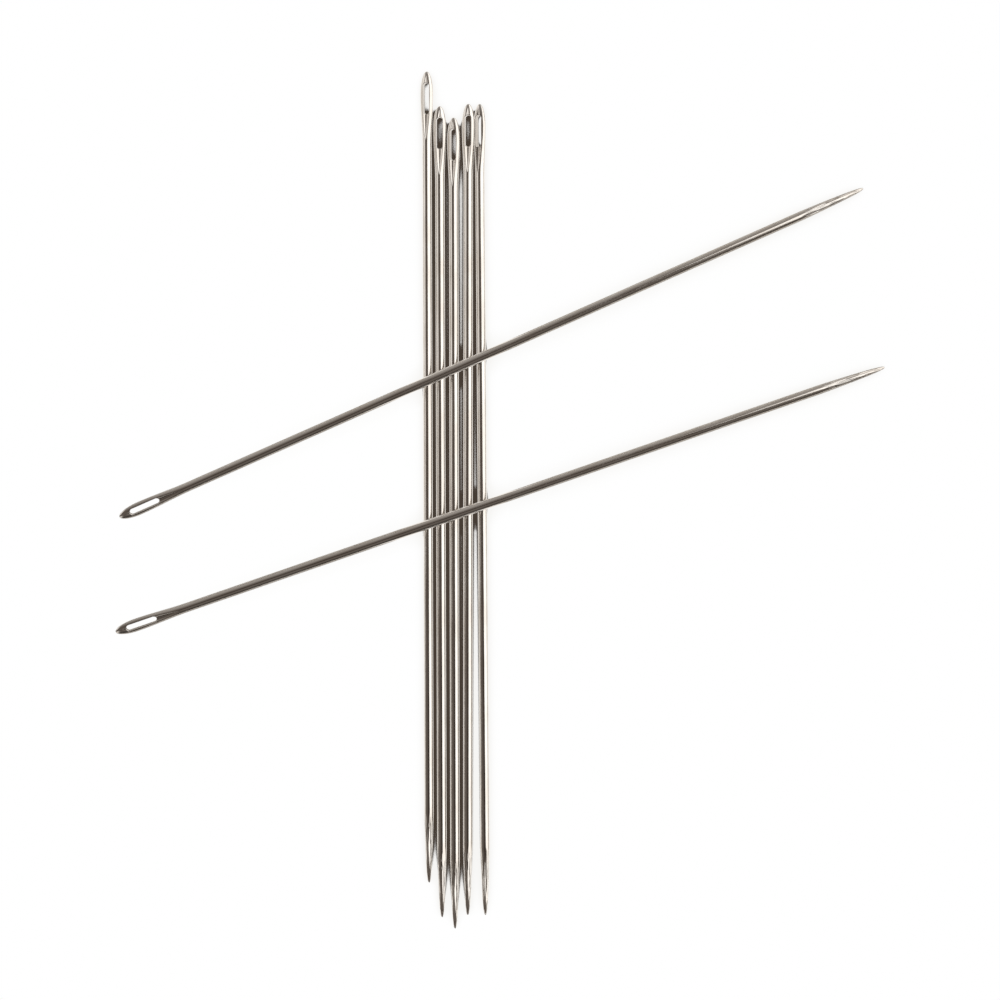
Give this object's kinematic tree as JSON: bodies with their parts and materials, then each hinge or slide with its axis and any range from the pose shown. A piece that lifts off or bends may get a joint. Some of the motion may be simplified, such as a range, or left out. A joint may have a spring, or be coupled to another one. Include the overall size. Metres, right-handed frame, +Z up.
{
  "type": "mattress needle set",
  "caption": "Straight plated steel mattress needles with long stamped eyes and slim ground points, laid in a row with others across it.",
  "frame": {"origin": "middle of the set's footprint, on the surface that it lies on", "axes": "+Y along the row towards its eyes, +X towards the points of the needles laid across, +Z up"},
  "size_m": [0.1682, 0.188, 0.0063],
  "materials": {
    "plated_steel": "polished"
  },
  "bodies": {
    "needle_1": {"needle_1_eye": "plated_steel", "needle_1_shank": "plated_steel"},
    "needle_2": {"needle_2_eye": "plated_steel", "needle_2_shank": "plated_steel"},
    "needle_3": {"needle_3_eye": "plated_steel", "needle_3_shank": "plated_steel"},
    "needle_4": {"needle_4_eye": "plated_steel", "needle_4_shank": "plated_steel"},
    "needle_5": {"needle_5_eye": "plated_steel", "needle_5_shank": "plated_steel"},
    "cross_needle_upper": {"cross_needle_upper_eye": "plated_steel", "cross_needle_upper_shank": "plated_steel"},
    "cross_needle_lower": {"cross_needle_lower_eye": "plated_steel", "cross_needle_lower_shank": "plated_steel"}
  },
  "joints": [
    {"name": "needle_1_draw", "type": "slide", "parent": "needle_3", "child": "needle_1", "axis": [0, 1, 0], "range_m": [0, 0.2]},
    {"name": "needle_2_draw", "type": "slide", "parent": "needle_3", "child": "needle_2", "axis": [0, 1, 0], "range_m": [0, 0.2]},
    {"name": "needle_4_draw", "type": "slide", "parent": "needle_3", "child": "needle_4", "axis": [0, 1, 0], "range_m": [0, 0.2]},
    {"name": "needle_5_draw", "type": "slide", "parent": "needle_3", "child": "needle_5", "axis": [0, 1, 0], "range_m": [0, 0.2]},
    {"name": "cross_needle_upper_lift", "type": "slide", "parent": "needle_3", "child": "cross_needle_upper", "axis": [0, 0, 1], "range_m": [0, 0.05]},
    {"name": "cross_needle_lower_lift", "type": "slide", "parent": "needle_3", "child": "cross_needle_lower", "axis": [0, 0, 1], "range_m": [0, 0.05]}
  ]
}
